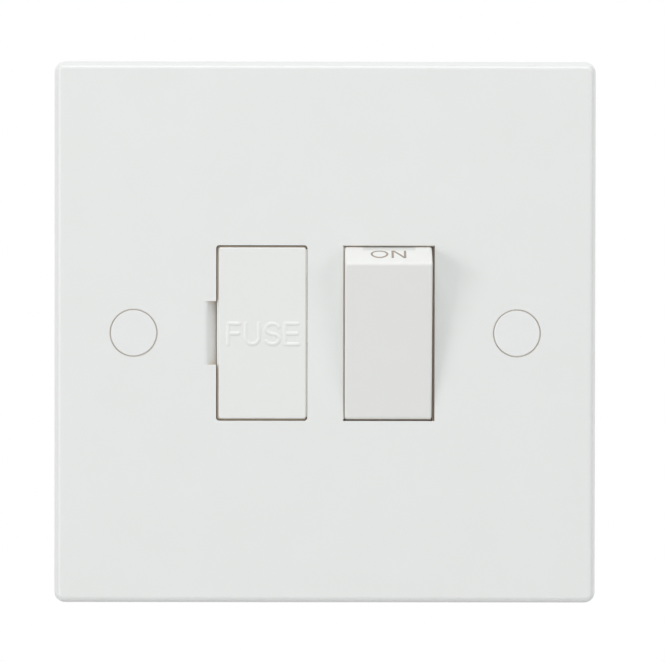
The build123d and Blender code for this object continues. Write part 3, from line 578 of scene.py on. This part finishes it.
@dataclass
class RaisedWord:
    """The word moulded in low relief on the drawer, in strokes with a round back.

    The middle bars are a little above the letters' middle, and each short bar's length is a share of
    its letter's width.
    """

    drawer_face_y: float = -9.0
    centre_z: float = -0.16
    letter_height: float = 3.22
    stroke_width: float = 0.66
    relief: float = 0.125
    root_depth: float = 0.1
    run_step: float = 0.25
    letter_starts: tuple[float, ...] = (-15.28, -12.53, -9.36, -6.32)
    letter_widths: tuple[float, ...] = (1.66, 2.11, 2.1, 2.05)
    bar_rise: float = 0.05
    f_bar_share: float = 0.94
    e_top_share: float = 0.96
    e_bar_share: float = 0.88
    turn_step: int = 12
    section_steps: int = 8
    cap_steps: int = 5
    least_section: float = 0.03

    def letters(self) -> list[list[list[tuple[float, float]]]]:
        """List each letter's strokes, as centre lines of X and Z on the drawer's face."""
        half = self.letter_height / 2
        bar = self.bar_rise
        f_x, u_x, s_x, e_x = self.letter_starts
        f_w, u_w, s_w, e_w = self.letter_widths
        turn = u_w / 2
        bowl = arc_points((u_x + turn, turn - half), (turn, turn), range(180, 361, self.turn_step))
        letters = [
            [
                [(f_x, half), (f_x, -half)],
                [(f_x, half), (f_x + f_w, half)],
                [(f_x, bar), (f_x + self.f_bar_share * f_w, bar)],
            ],
            [[(u_x, half), *bowl, (u_x + u_w, half)]],
            [self.s_curve(s_x, s_w, half)],
            [
                [(e_x, half), (e_x, -half)],
                [(e_x, half), (e_x + self.e_top_share * e_w, half)],
                [(e_x, bar), (e_x + self.e_bar_share * e_w, bar)],
                [(e_x, -half), (e_x + e_w, -half)],
            ],
        ]
        return [[[(x, z + self.centre_z) for x, z in line] for line in letter] for letter in letters]

    def s_curve(self, left: float, width: float, half: float) -> list[tuple[float, float]]:
        """Draw the S from its upper end as two part ellipses that meet in the middle."""
        radii = (width / 2, half / 2)
        middle = left + radii[0]
        upper_turn = range(25, 266, self.turn_step)
        lower_turn = range(85, -156, -self.turn_step)
        upper = arc_points((middle, radii[1]), radii, upper_turn)
        return upper + arc_points((middle, -radii[1]), radii, lower_turn)

    def section(self) -> bpy.types.Object:
        """Draw the strokes' closed section: an arc over the drawer's face and a root under it."""
        half = self.stroke_width / 2
        radius = (half**2 + self.relief**2) / (2 * self.relief)
        reach = math.asin(half / radius)
        steps = range(self.section_steps, -self.section_steps - 1, -1)
        turns = [reach * step / self.section_steps for step in steps]
        arc = [(radius * math.sin(t), radius * math.cos(t) - radius + self.relief) for t in turns]
        outline = [(half, -self.root_depth), *arc, (-half, -self.root_depth)]
        return self.draw(outline, [1.0] * len(outline), closed=True)

    def divided(self, line: list[tuple[float, float]]) -> list[tuple[float, float]]:
        """Divide long runs in short steps, so that the shading of an end stays at the end.

        Args:
            line: The stroke's centre line.

        Returns:
            The same line with more points.
        """
        points = [line[0]]
        for (x, z), (next_x, next_z) in zip(line, line[1:]):
            count = max(1, round(math.dist((x, z), (next_x, next_z)) / self.run_step))
            shares = [step / count for step in range(1, count + 1)]
            points += [(x + (next_x - x) * share, z + (next_z - z) * share) for share in shares]
        return points

    def stroke_points(self, line: list[tuple[float, float]]) -> list[tuple[float, float, float]]:
        """Add points with shrinking sections past each end, so that the stroke ends in a half round.

        Args:
            line: The stroke's centre line.

        Returns:
            X, Z and the share of the full section at each point.
        """
        radius = self.stroke_width / 2
        caps = []
        for end, inner in ((line[0], line[1]), (line[-1], line[-2])):
            out = Vector((end[0] - inner[0], end[1] - inner[1])).normalized()
            cap = []
            for step in range(self.cap_steps, 0, -1):
                angle = math.radians(90 * step / self.cap_steps)
                reach = radius * math.sin(angle)
                share = max(math.cos(angle), self.least_section)
                cap.append((end[0] + out.x * reach, end[1] + out.y * reach, share))
            caps.append(cap)
        return caps[0] + [(x, z, 1.0) for x, z in self.divided(line)] + caps[1][::-1]

    def draw(
        self,
        points: list[tuple[float, float]],
        shares: list[float],
        closed: bool = False,
    ) -> bpy.types.Object:
        """Draw a flat polyline as a curve.

        Args:
            points: Its points in millimetres.
            shares: The section's size at each point.
            closed: Whether it ends where it begins.

        Returns:
            The curve, in the plane of its own X and Y.
        """
        deselect_all()
        bpy.ops.curve.primitive_nurbs_path_add()
        drawn = bpy.context.object
        drawn.data.splines.clear()
        drawn.data.dimensions = "2D"
        spline = drawn.data.splines.new("POLY")
        spline.points.add(len(points) - 1)
        for point, (x, y), share in zip(spline.points, points, shares):
            point.co = (x * MM, y * MM, 0.0, 1.0)
            point.radius = share
        spline.use_cyclic_u = closed
        return drawn

    def stroke(self, line: list[tuple[float, float]], section: bpy.types.Object) -> bpy.types.Object:
        """Sweep one stroke with the section over the drawer's face, as a closed mesh."""
        points = self.stroke_points(line)
        path = self.draw([(x, z) for x, z, _ in points], [share for _, _, share in points])
        path.data.bevel_mode = "OBJECT"
        path.data.bevel_object = section
        path.data.use_fill_caps = True
        path.rotation_euler = (math.radians(90), 0, 0)
        path.location = (0, self.drawer_face_y * MM, 0)
        bpy.ops.object.convert(target="MESH")
        stroke = bpy.context.object
        close_shell(stroke)
        return stroke

    def build(self, material: bpy.types.Material) -> bpy.types.Object:
        """Sweep the strokes, unite them in letters and set the word on the drawer.

        Args:
            material: The drawer's own plastic.

        Returns:
            The raised word.
        """
        section = self.section()
        letters = []
        for lines in self.letters():
            letter, *others = [self.stroke(line, section) for line in lines]
            for other in others:
                combine(letter, other, "UNION", "MANIFOLD")
            letters.append(letter)
        bpy.data.objects.remove(section)
        word = join_pieces(letters, "fuse_word_raised")
        coat(word, material)
        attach(word, "fuse_drawer")
        return word


@dataclass
class DrawerBead:
    """The slab in the drawer's front whose rim closes the gap in the plate, just behind the face."""

    centre_x: float = -10.0
    gap_width: float = 14.35
    gap_height: float = 27.6
    edge: float = 0.46
    edge_segments: int = 6
    clearance: float = 0.05
    front_y: float = -8.5
    depth: float = 0.7
    inner_margin: float = 0.6

    def block(self, margin: float, depth: float) -> bpy.types.Object:
        """Model a block as large as the plate's opening less a margin, about the bead's middle."""
        middle = self.front_y + self.depth / 2
        reach = self.gap_width / 2 - margin
        rise = self.gap_height / 2 - margin
        return add_block(
            (self.centre_x - reach, self.centre_x + reach),
            (middle - depth / 2, middle + depth / 2),
            (-rise, rise),
        )

    def build(self, material: bpy.types.Material) -> bpy.types.Object:
        """Set an inner block in a slab with rounded edges.

        Args:
            material: The drawer's own plastic.

        Returns:
            The bead.
        """
        inside = self.block(self.inner_margin, 2 * self.depth)
        bead = self.block(self.clearance, self.depth)
        bevel_all(bead, self.edge, self.edge_segments)
        # The slab is thinner than its two rounded edges together, so its faces cross. The cut then
        # keeps the inner block and turns all faces inwards.
        combine(bead, inside, "DIFFERENCE", "EXACT")
        bead.name = "drawer_bead"
        coat(bead, material)
        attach(bead, "fuse_drawer")
        return bead


@dataclass
class CapBead:
    """The thin bead round a screw cap, just behind its face, that grips the wall of its well."""

    x: float
    well_radius: float = 3.775
    clearance: float = 0.02
    inner_radius: float = 3.3
    front_y: float = -8.76
    depth: float = 0.5
    sides: int = 96

    def build(self, name: str, body: str, material: bpy.types.Material) -> bpy.types.Object:
        """Cut the inside from a disc that nearly fills the well.

        Args:
            name: The piece's name.
            body: The cap's body.
            material: The cap's own plastic.

        Returns:
            The bead.
        """
        before = self.front_y - self.depth / 2
        inside = add_disc(self.x, before, 2 * self.depth, self.inner_radius, self.sides)
        bead = add_disc(self.x, self.front_y, self.depth, self.well_radius - self.clearance, self.sides)
        combine(bead, inside, "DIFFERENCE", "EXACT")
        bead.name = name
        coat(bead, material)
        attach(bead, body)
        return bead


@dataclass
class GapStrip:
    """A thin moulded strip that stands in a gap just behind the face, with its edges rounded.

    Its sizes are lowest and highest places in millimetres. It sinks a little into what carries it.
    """

    name: str
    across: tuple[float, float]
    into: tuple[float, float]
    up: tuple[float, float]
    edge: float = 0.05
    edge_segments: int = 3

    def build(self, body: str, slot: str, material: bpy.types.Material) -> bpy.types.Object:
        """Model the strip with rounded edges and let it ride on its body, in that body's plastic."""
        strip = add_block(self.across, self.into, self.up)
        bevel_all(strip, self.edge, self.edge_segments)
        strip.name = self.name
        coat(strip, material)
        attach(strip, body)
        return strip


@dataclass
class NotchRamp:
    """The ramp that carries the lever notch's rolled lip on to the drawer's edge, where it levels out."""

    left: float = -18.33
    right: float = -17.2
    half_height: float = 4.99
    face_y: float = -9.0
    floor_y: float = -6.55
    drop: float = 0.547
    settle: float = 1.0
    rate: float = 1.4
    steps: int = 9

    def profile(self) -> list[tuple[float, float]]:
        """List the corners of the ramp's section in order, as X and Y in millimetres."""
        width = self.right - self.left
        surface = []
        for step in range(self.steps + 1):
            along = width * step / self.steps
            depth = self.drop + self.settle * (1 - math.exp(-self.rate * along))
            surface.append((self.left + along, self.face_y + depth))
        return [*surface, (self.right, self.floor_y), (self.left, self.floor_y)]

    def build(self, material: bpy.types.Material) -> bpy.types.Object:
        """Move a disc's corners to the section and extrude it along the notch.

        Args:
            material: The plate's own plastic.

        Returns:
            The ramp.
        """
        corners = self.profile()
        deselect_all()
        bpy.ops.mesh.primitive_circle_add(vertices=len(corners), radius=1, fill_type="NGON")
        ramp = bpy.context.object
        for vertex, (x, y) in zip(ramp.data.vertices, corners):
            vertex.co = (x * MM, y * MM, -self.half_height * MM)
        bpy.ops.object.mode_set(mode="EDIT")
        bpy.ops.mesh.select_all(action="SELECT")
        along = (0, 0, 2 * self.half_height * MM)
        bpy.ops.mesh.extrude_region_move(TRANSFORM_OT_translate={"value": along})
        bpy.ops.object.mode_set(mode="OBJECT")
        close_shell(ramp)
        ramp.name = "lever_notch_ramp"
        coat(ramp, material)
        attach(ramp, "base")
        return ramp


@dataclass
class PrintedWord:
    """The word ON, pad printed on the rocker's upper end face, which is an arc about the pivot.

    The bars of the N are a little wider than the stroke of the O, by bar_share and slant_share.
    """

    pivot_y: float = -5.1
    end_radius: float = 14.05
    ink_height: float = 0.012
    low_angle: float = 22.6
    high_angle: float = 32.6
    o_left: float = 7.08
    o_right: float = 9.85
    n_left: float = 10.35
    n_right: float = 12.65
    stroke: float = 0.32
    bar_share: float = 1.1
    slant_share: float = 1.2
    ring_sides: int = 48
    bar_cuts: int = 5

    def on_end_face(self, x: float, share: float) -> Vector:
        """Place a point on the rocker's end face, at its share of a letter's height, in metres."""
        angle = math.radians(self.high_angle + (self.low_angle - self.high_angle) * share)
        radius = self.end_radius + self.ink_height
        y = self.pivot_y - radius * math.sin(angle)
        z = radius * math.cos(angle)
        return Vector((x, y, z)) * MM

    def letter_height(self) -> float:
        """The letters' height along the arc, in millimetres."""
        return self.end_radius * math.radians(self.high_angle - self.low_angle)

    def ring(self) -> bpy.types.Object:
        """Model the O as a flat ring between two ellipses, before it is laid on the arc."""
        deselect_all()
        width = self.o_right - self.o_left
        height = self.letter_height()
        bpy.ops.mesh.primitive_circle_add(vertices=self.ring_sides, radius=1, fill_type="NOTHING")
        letter = bpy.context.object
        letter.scale = (width / 2, height / 2, 1)
        bpy.ops.object.transform_apply(location=False, rotation=False, scale=True)
        bpy.ops.object.mode_set(mode="EDIT")
        bpy.ops.mesh.select_all(action="SELECT")
        bpy.ops.mesh.extrude_edges_move()
        bpy.ops.transform.resize(value=(1 - 2 * self.stroke / width, 1 - 2 * self.stroke / height, 1))
        bpy.ops.object.mode_set(mode="OBJECT")
        letter.location = ((self.o_left + self.o_right) / 2, height / 2, 0)
        bpy.ops.object.transform_apply(location=True, rotation=False, scale=False)
        return letter

    def bar(self, corners: tuple[tuple[float, float], ...]) -> bpy.types.Object:
        """Model a straight stroke of the N by its corners, cut across so that it can follow the arc."""
        deselect_all()
        bpy.ops.mesh.primitive_plane_add(size=1)
        stroke = bpy.context.object
        order = sorted(stroke.data.vertices, key=lambda v: math.atan2(v.co.y, v.co.x))
        for vertex, (x, height) in zip(order, corners):
            vertex.co = (x, height, 0)
        bpy.ops.object.mode_set(mode="EDIT")
        bpy.ops.mesh.select_all(action="SELECT")
        bpy.ops.mesh.subdivide(number_cuts=self.bar_cuts)
        bpy.ops.object.mode_set(mode="OBJECT")
        return stroke

    def build(self, material: bpy.types.Material) -> bpy.types.Object:
        """Make both letters, lay them on the arc and give the ink its thickness.

        Args:
            material: The ink.

        Returns:
            The printed word.
        """
        height = self.letter_height()
        left, right = self.n_left, self.n_right
        wide = self.stroke * self.bar_share
        slant = wide * self.slant_share
        bars = [
            ((left, 0), (left + wide, 0), (left + wide, height), (left, height)),
            ((right - wide, 0), (right, 0), (right, height), (right - wide, height)),
            ((right - slant, 0), (right, 0), (left + slant, height), (left, height)),
        ]
        word = join_pieces([self.ring(), *(self.bar(corners) for corners in bars)], "rocker_on_print")
        for vertex in word.data.vertices:
            vertex.co = self.on_end_face(vertex.co.x, vertex.co.y / height)
        apply_modifier(word, "SOLIDIFY", thickness=self.ink_height * MM, offset=0.0)
        dress(word, material)
        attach(word, "rocker")
        return word


@dataclass
class FixingScrew:
    """One M3.5 screw with a slotted pan head, its thread cut as a helical ridge round a core.

    The slot's cutter reaches past the head by slot_reach, a share of the head's radius. The ridge's
    root is sunk in the core, and flank_share is half its width there as a share of the pitch.
    """

    x: float
    seat_y: float = -4.0
    length: float = 25.0
    head_radius: float = 3.3
    head_height: float = 2.2
    head_bevel: float = 0.7
    head_sides: int = 64
    head_segments: int = 6
    slot_width: float = 0.8
    slot_depth: float = 1.1
    slot_reach: float = 1.2
    crest_radius: float = 1.745
    core_radius: float = 1.42
    root_sunk: float = 0.06
    flank_share: float = 0.44
    shank_radius: float = 1.55
    shank_bevel: float = 0.05
    pitch: float = 0.6
    tip_chamfer: float = 0.5
    plain_length: float = 4.0
    steps: int = 24
    sharp: float = 30.0

    def head(self) -> bpy.types.Object:
        """Turn the head and cut its slot."""
        front = self.seat_y - self.head_height
        head = add_disc(self.x, front, self.head_height, self.head_radius, self.head_sides)
        bevel_end(head, front, self.head_bevel, self.head_segments)
        reach = self.slot_reach * self.head_radius
        cutter = add_block(
            (self.x - reach, self.x + reach),
            (front - self.slot_depth, front + self.slot_depth),
            (-self.slot_width / 2, self.slot_width / 2),
        )
        combine(head, cutter, "DIFFERENCE", "EXACT")
        return head

    def core(self) -> bpy.types.Object:
        """Turn the core from under the head to the chamfered tip."""
        core = add_disc(self.x, self.seat_y, self.length, self.core_radius, 2 * self.steps)
        bevel_end(core, self.seat_y + self.length, self.tip_chamfer, 1)
        return core

    def shank(self) -> bpy.types.Object:
        """Turn the plain shank between the head and the thread."""
        shank = add_disc(self.x, self.seat_y, self.plain_length, self.shank_radius, 2 * self.steps)
        bevel_all(shank, self.shank_bevel, 1)
        return shank

    def thread(self) -> bpy.types.Object:
        """Sweep the thread's triangle round the core as a closed helical ridge."""
        deselect_all()
        turns = int((self.length - self.plain_length - self.tip_chamfer) / self.pitch) - 1
        bpy.ops.mesh.primitive_circle_add(vertices=3, radius=1, fill_type="NOTHING")
        ridge = bpy.context.object
        inside = self.core_radius - self.root_sunk
        flank = self.flank_share * self.pitch
        corners = ((inside, -flank), (self.crest_radius, 0.0), (inside, flank))
        for vertex, (radius, along) in zip(ridge.data.vertices, corners):
            vertex.co = (radius * MM, 0, along * MM)
        apply_modifier(
            ridge,
            "SCREW",
            axis="Z",
            angle=2 * math.pi,
            screw_offset=self.pitch * MM,
            iterations=turns,
            steps=self.steps,
            render_steps=self.steps,
            use_merge_vertices=True,
            merge_threshold=WELDED,
        )
        bpy.ops.object.mode_set(mode="EDIT")
        bpy.ops.mesh.select_all(action="SELECT")
        bpy.ops.mesh.fill_holes(sides=3)
        bpy.ops.mesh.normals_make_consistent(inside=False)
        bpy.ops.object.mode_set(mode="OBJECT")
        start = self.seat_y + self.plain_length + flank
        ridge.rotation_euler = (math.radians(-90), 0, 0)
        ridge.location = (self.x * MM, start * MM, 0)
        return ridge

    def build(self, name: str, material: bpy.types.Material) -> bpy.types.Object:
        """Make the screw in place of the frame's plain one.

        Args:
            name: The piece's name.
            material: Zinc plated steel.

        Returns:
            The screw.
        """
        screw = join_pieces([self.head(), self.shank(), self.core(), self.thread()], name)
        coat(screw, material, self.sharp)
        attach(screw, "base")
        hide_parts("fixing_screws")
        return screw


@dataclass
class Unit:
    """The whole fused spur unit: the frame's nodes with their finishes, and what is added to them."""

    fixing_x: float = 30.15

    def finishes(self) -> dict[str, MouldedPlastic | Metal]:
        """The finish of each of the frame's nodes, by name, apart from the turned brass terminals."""
        finishes: dict[str, MouldedPlastic | Metal] = {
            "front_plate": UREA_WHITE,
            "rocker": ROCKER_WHITE,
            "fuse_drawer": DRAWER_WHITE,
            "screw_cap_left": CAP_WHITE,
            "screw_cap_right": CAP_WHITE,
            "rear_housing": PHENOLIC_BROWN,
            "housing_screws": ZINC_STEEL,
            "fixing_screws": ZINC_STEEL,
            "fuse_body": CERAMIC,
            "earth_link": BRASS_STRIP,
        }
        for row in ("top", "bottom"):
            finishes[f"fuse_cap_{row}"] = NICKEL_PLATE
            finishes[f"fuse_clip_{row}"] = SPRING_BRONZE
        for pole in ("live", "neutral"):
            finishes[f"plunger_{pole}"] = NYLON_NATURAL
            finishes[f"plunger_spring_{pole}"] = MUSIC_WIRE
            finishes[f"contact_arm_{pole}"] = COPPER_STRIP
            finishes[f"arm_tip_{pole}"] = SILVER_RIVET
            finishes[f"fixed_tip_{pole}"] = SILVER_RIVET
            finishes[f"fixed_contact_{pole}"] = BRASS_STRIP
            finishes[f"fulcrum_bracket_{pole}"] = BRASS_STRIP
        return finishes

    def dress_nodes(self, nodes: dict[str, bpy.types.Object]) -> dict[str, bpy.types.Material]:
        """Give each of the frame's nodes its finish.

        Args:
            nodes: The frame's objects by node name.

        Returns:
            The materials by their finish's name.
        """
        finishes = self.finishes()
        made: dict[str, bpy.types.Material] = {}
        for name, node in nodes.items():
            finish = finishes.get(name, TURNED_BRASS)
            if finish.name not in made:
                made[finish.name] = finish.material()
            dress(node, made[finish.name])
            log.info("dressed %s in %s", name, finish.name)
        return made

    def close_gaps(self, plate: bpy.types.Material, drawer: bpy.types.Material) -> None:
        """Add the pieces that make the gaps of the front as shallow as they look."""
        DrawerBead().build(drawer)
        NotchRamp().build(plate)
        GapStrip(
            "drawer_right_strip",
            across=(-3.3, -2.875),
            into=(-8.8, -7.8),
            up=(-13.2, 13.2),
        ).build("fuse_drawer", "urea_white_drawer", drawer)
        GapStrip(
            "rocker_left_strip",
            across=(2.7, 3.01),
            into=(-8.78, -7.65),
            up=(-13.6, 13.6),
        ).build("base", "urea_white", plate)
        GapStrip(
            "rocker_top_strip",
            across=(2.9, 17.1),
            into=(-8.8, -8.5),
            up=(13.68, 14.0),
            edge=0.03,
        ).build("base", "urea_white", plate)
        log.info("closed the gaps of the drawer and the rocker")

    def build(self, nodes: dict[str, bpy.types.Object]) -> None:
        """Dress the frame's nodes and add the words, the gaps' pieces and the threaded screws.

        Args:
            nodes: The frame's objects by node name.
        """
        made = self.dress_nodes(nodes)
        RaisedWord().build(made[DRAWER_WHITE.name])
        self.close_gaps(made[UREA_WHITE.name], made[DRAWER_WHITE.name])
        PrintedWord().build(LEGEND_INK.material())
        for side, x in (("left", -self.fixing_x), ("right", self.fixing_x)):
            FixingScrew(x=x).build(f"fixing_screw_{side}", made[ZINC_STEEL.name])
            CapBead(x=x).build(f"cap_bead_{side}", f"cap_{side}", made[CAP_WHITE.name])
            log.info("threaded the %s fixing screw and set its cap's bead", side)


@dataclass(frozen=True)
class SoftBox:
    """A square soft box that looks at the unit.

    A matt white surface that faces the box renders at the box's share of white.
    """

    name: str
    direction: tuple[float, float, float]
    share: float
    size: float
    distance: float = 1.1

    def hang(self) -> None:
        """Hang the box in its direction from the origin, looking back at it."""
        data = bpy.data.lights.new(self.name, "AREA")
        data.shape = "SQUARE"
        data.size = self.size
        data.energy = self.share * math.pi**2 * self.distance**2
        lamp = bpy.data.objects.new(self.name, data)
        bpy.context.scene.collection.objects.link(lamp)
        place = Vector(self.direction).normalized()
        lamp.location = place * self.distance
        lamp.rotation_euler = place.to_track_quat("Z", "Y").to_euler()


@dataclass
class Studio:
    """A white studio: a bright backdrop, an even tent round the room side and three soft boxes.

    The tent turns into the backdrop between two shares of Y in a ray's direction.
    """

    tent: float = 0.42
    backdrop: float = 0.7
    backdrop_starts: float = 0.0
    backdrop_full: float = 0.1
    boxes: tuple[SoftBox, ...] = (
        SoftBox("key_left", (-0.78, -0.60, 0.10), share=0.28, size=0.45),
        SoftBox("overhead", (-0.05, -0.41, 0.91), share=0.44, size=0.6),
        SoftBox("fill_right", (0.73, -0.65, 0.24), share=0.175, size=0.6),
    )
    floor_z: float = -0.3
    floor_size: float = 4.0
    floor_colour: str = "#E4E4E4"

    def world(self) -> None:
        """Surround the unit with the tent and the backdrop, plain white where they are seen."""
        world = bpy.data.worlds.new("studio_tent")
        bpy.context.scene.world = world
        world.use_nodes = True
        tree = world.node_tree
        tree.nodes.clear()
        direction = add_node(tree, "ShaderNodeTexCoord").outputs["Generated"]
        parts = add_node(tree, "ShaderNodeSeparateXYZ", Vector=direction)
        light = add_node(
            tree,
            "ShaderNodeMapRange",
            {"interpolation_type": "SMOOTHSTEP"},
            Value=parts.outputs["Y"],
            From_Min=self.backdrop_starts,
            From_Max=self.backdrop_full,
            To_Min=self.tent,
            To_Max=self.backdrop,
        )
        rays = add_node(tree, "ShaderNodeLightPath")
        camera_or_gloss = add_node(
            tree,
            "ShaderNodeMath",
            {"operation": "MAXIMUM"},
            i0=rays.outputs["Is Camera Ray"],
            i1=rays.outputs["Is Glossy Ray"],
        )
        seen = add_node(
            tree,
            "ShaderNodeMath",
            {"operation": "MAXIMUM"},
            i0=camera_or_gloss.outputs["Value"],
            i1=rays.outputs["Is Transmission Ray"],
        )
        strength = add_node(
            tree,
            "ShaderNodeMix",
            i0=seen.outputs["Value"],
            i2=light.outputs["Result"],
            i3=1.0,
        )
        background = add_node(
            tree,
            "ShaderNodeBackground",
            Color=(1.0, 1.0, 1.0, 1.0),
            Strength=strength.outputs["Result"],
        )
        output = add_node(tree, "ShaderNodeOutputWorld")
        tree.links.new(background.outputs["Background"], output.inputs["Surface"])

    def floor(self) -> None:
        """Lay a plain pale floor well below the unit, which hangs on its wall."""
        deselect_all()
        bpy.ops.mesh.primitive_plane_add(size=self.floor_size, location=(0, 0, self.floor_z))
        floor = bpy.context.object
        floor.name = "floor"
        bpy.ops.object.transform_apply(location=True, rotation=False, scale=False)
        material, tree, surface = new_material("matt_white_floor")
        matt = add_node(tree, "ShaderNodeBsdfDiffuse", Color=linear_colour(self.floor_colour))
        tree.links.new(matt.outputs["BSDF"], surface)
        dress(floor, material)

    def build(self) -> None:
        """Light the studio."""
        self.world()
        self.floor()
        for box in self.boxes:
            box.hang()
            log.info("hung the %s box", box.name)


@dataclass
class Camera:
    """The photograph's camera: a long lens, a little to the left of the unit and above its middle."""

    x: float = -5.16
    y: float = -824.7
    z: float = 13.46
    turn_right: float = 0.442
    tilt_down: float = 0.922
    roll: float = -0.092
    focal_pixels: float = 5185.5
    picture_width: float = 665.0
    sensor_width: float = 36.0
    nearest: float = 0.01

    def build(self) -> None:
        """Set the camera up and make it the scene's own."""
        data = bpy.data.cameras.new("camera")
        data.sensor_fit = "HORIZONTAL"
        data.sensor_width = self.sensor_width
        data.lens = self.focal_pixels / self.picture_width * self.sensor_width
        data.clip_start = self.nearest
        camera = bpy.data.objects.new("camera", data)
        bpy.context.scene.collection.objects.link(camera)
        aim = (math.radians(90 - self.tilt_down), 0, math.radians(-self.turn_right))
        rolled = Euler(aim, "XYZ").to_matrix() @ Matrix.Rotation(math.radians(-self.roll), 3, "Z")
        camera.matrix_world = Matrix.Translation(Vector((self.x, self.y, self.z)) * MM) @ rolled.to_4x4()
        bpy.context.scene.camera = camera


def main() -> None:
    """Load the frame, dress the unit and set the studio round it."""
    logging.basicConfig(level=logging.INFO, format="%(name)s: %(message)s")
    bpy.ops.object.select_all(action="SELECT")
    bpy.ops.object.delete()
    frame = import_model()
    Camera().build()
    Unit().build(frame["nodes"])
    Studio().build()
    bpy.context.scene.view_settings.view_transform = "Standard"
    log.info("the unit is dressed, lit and framed")


if __name__ == "__main__":
    main()
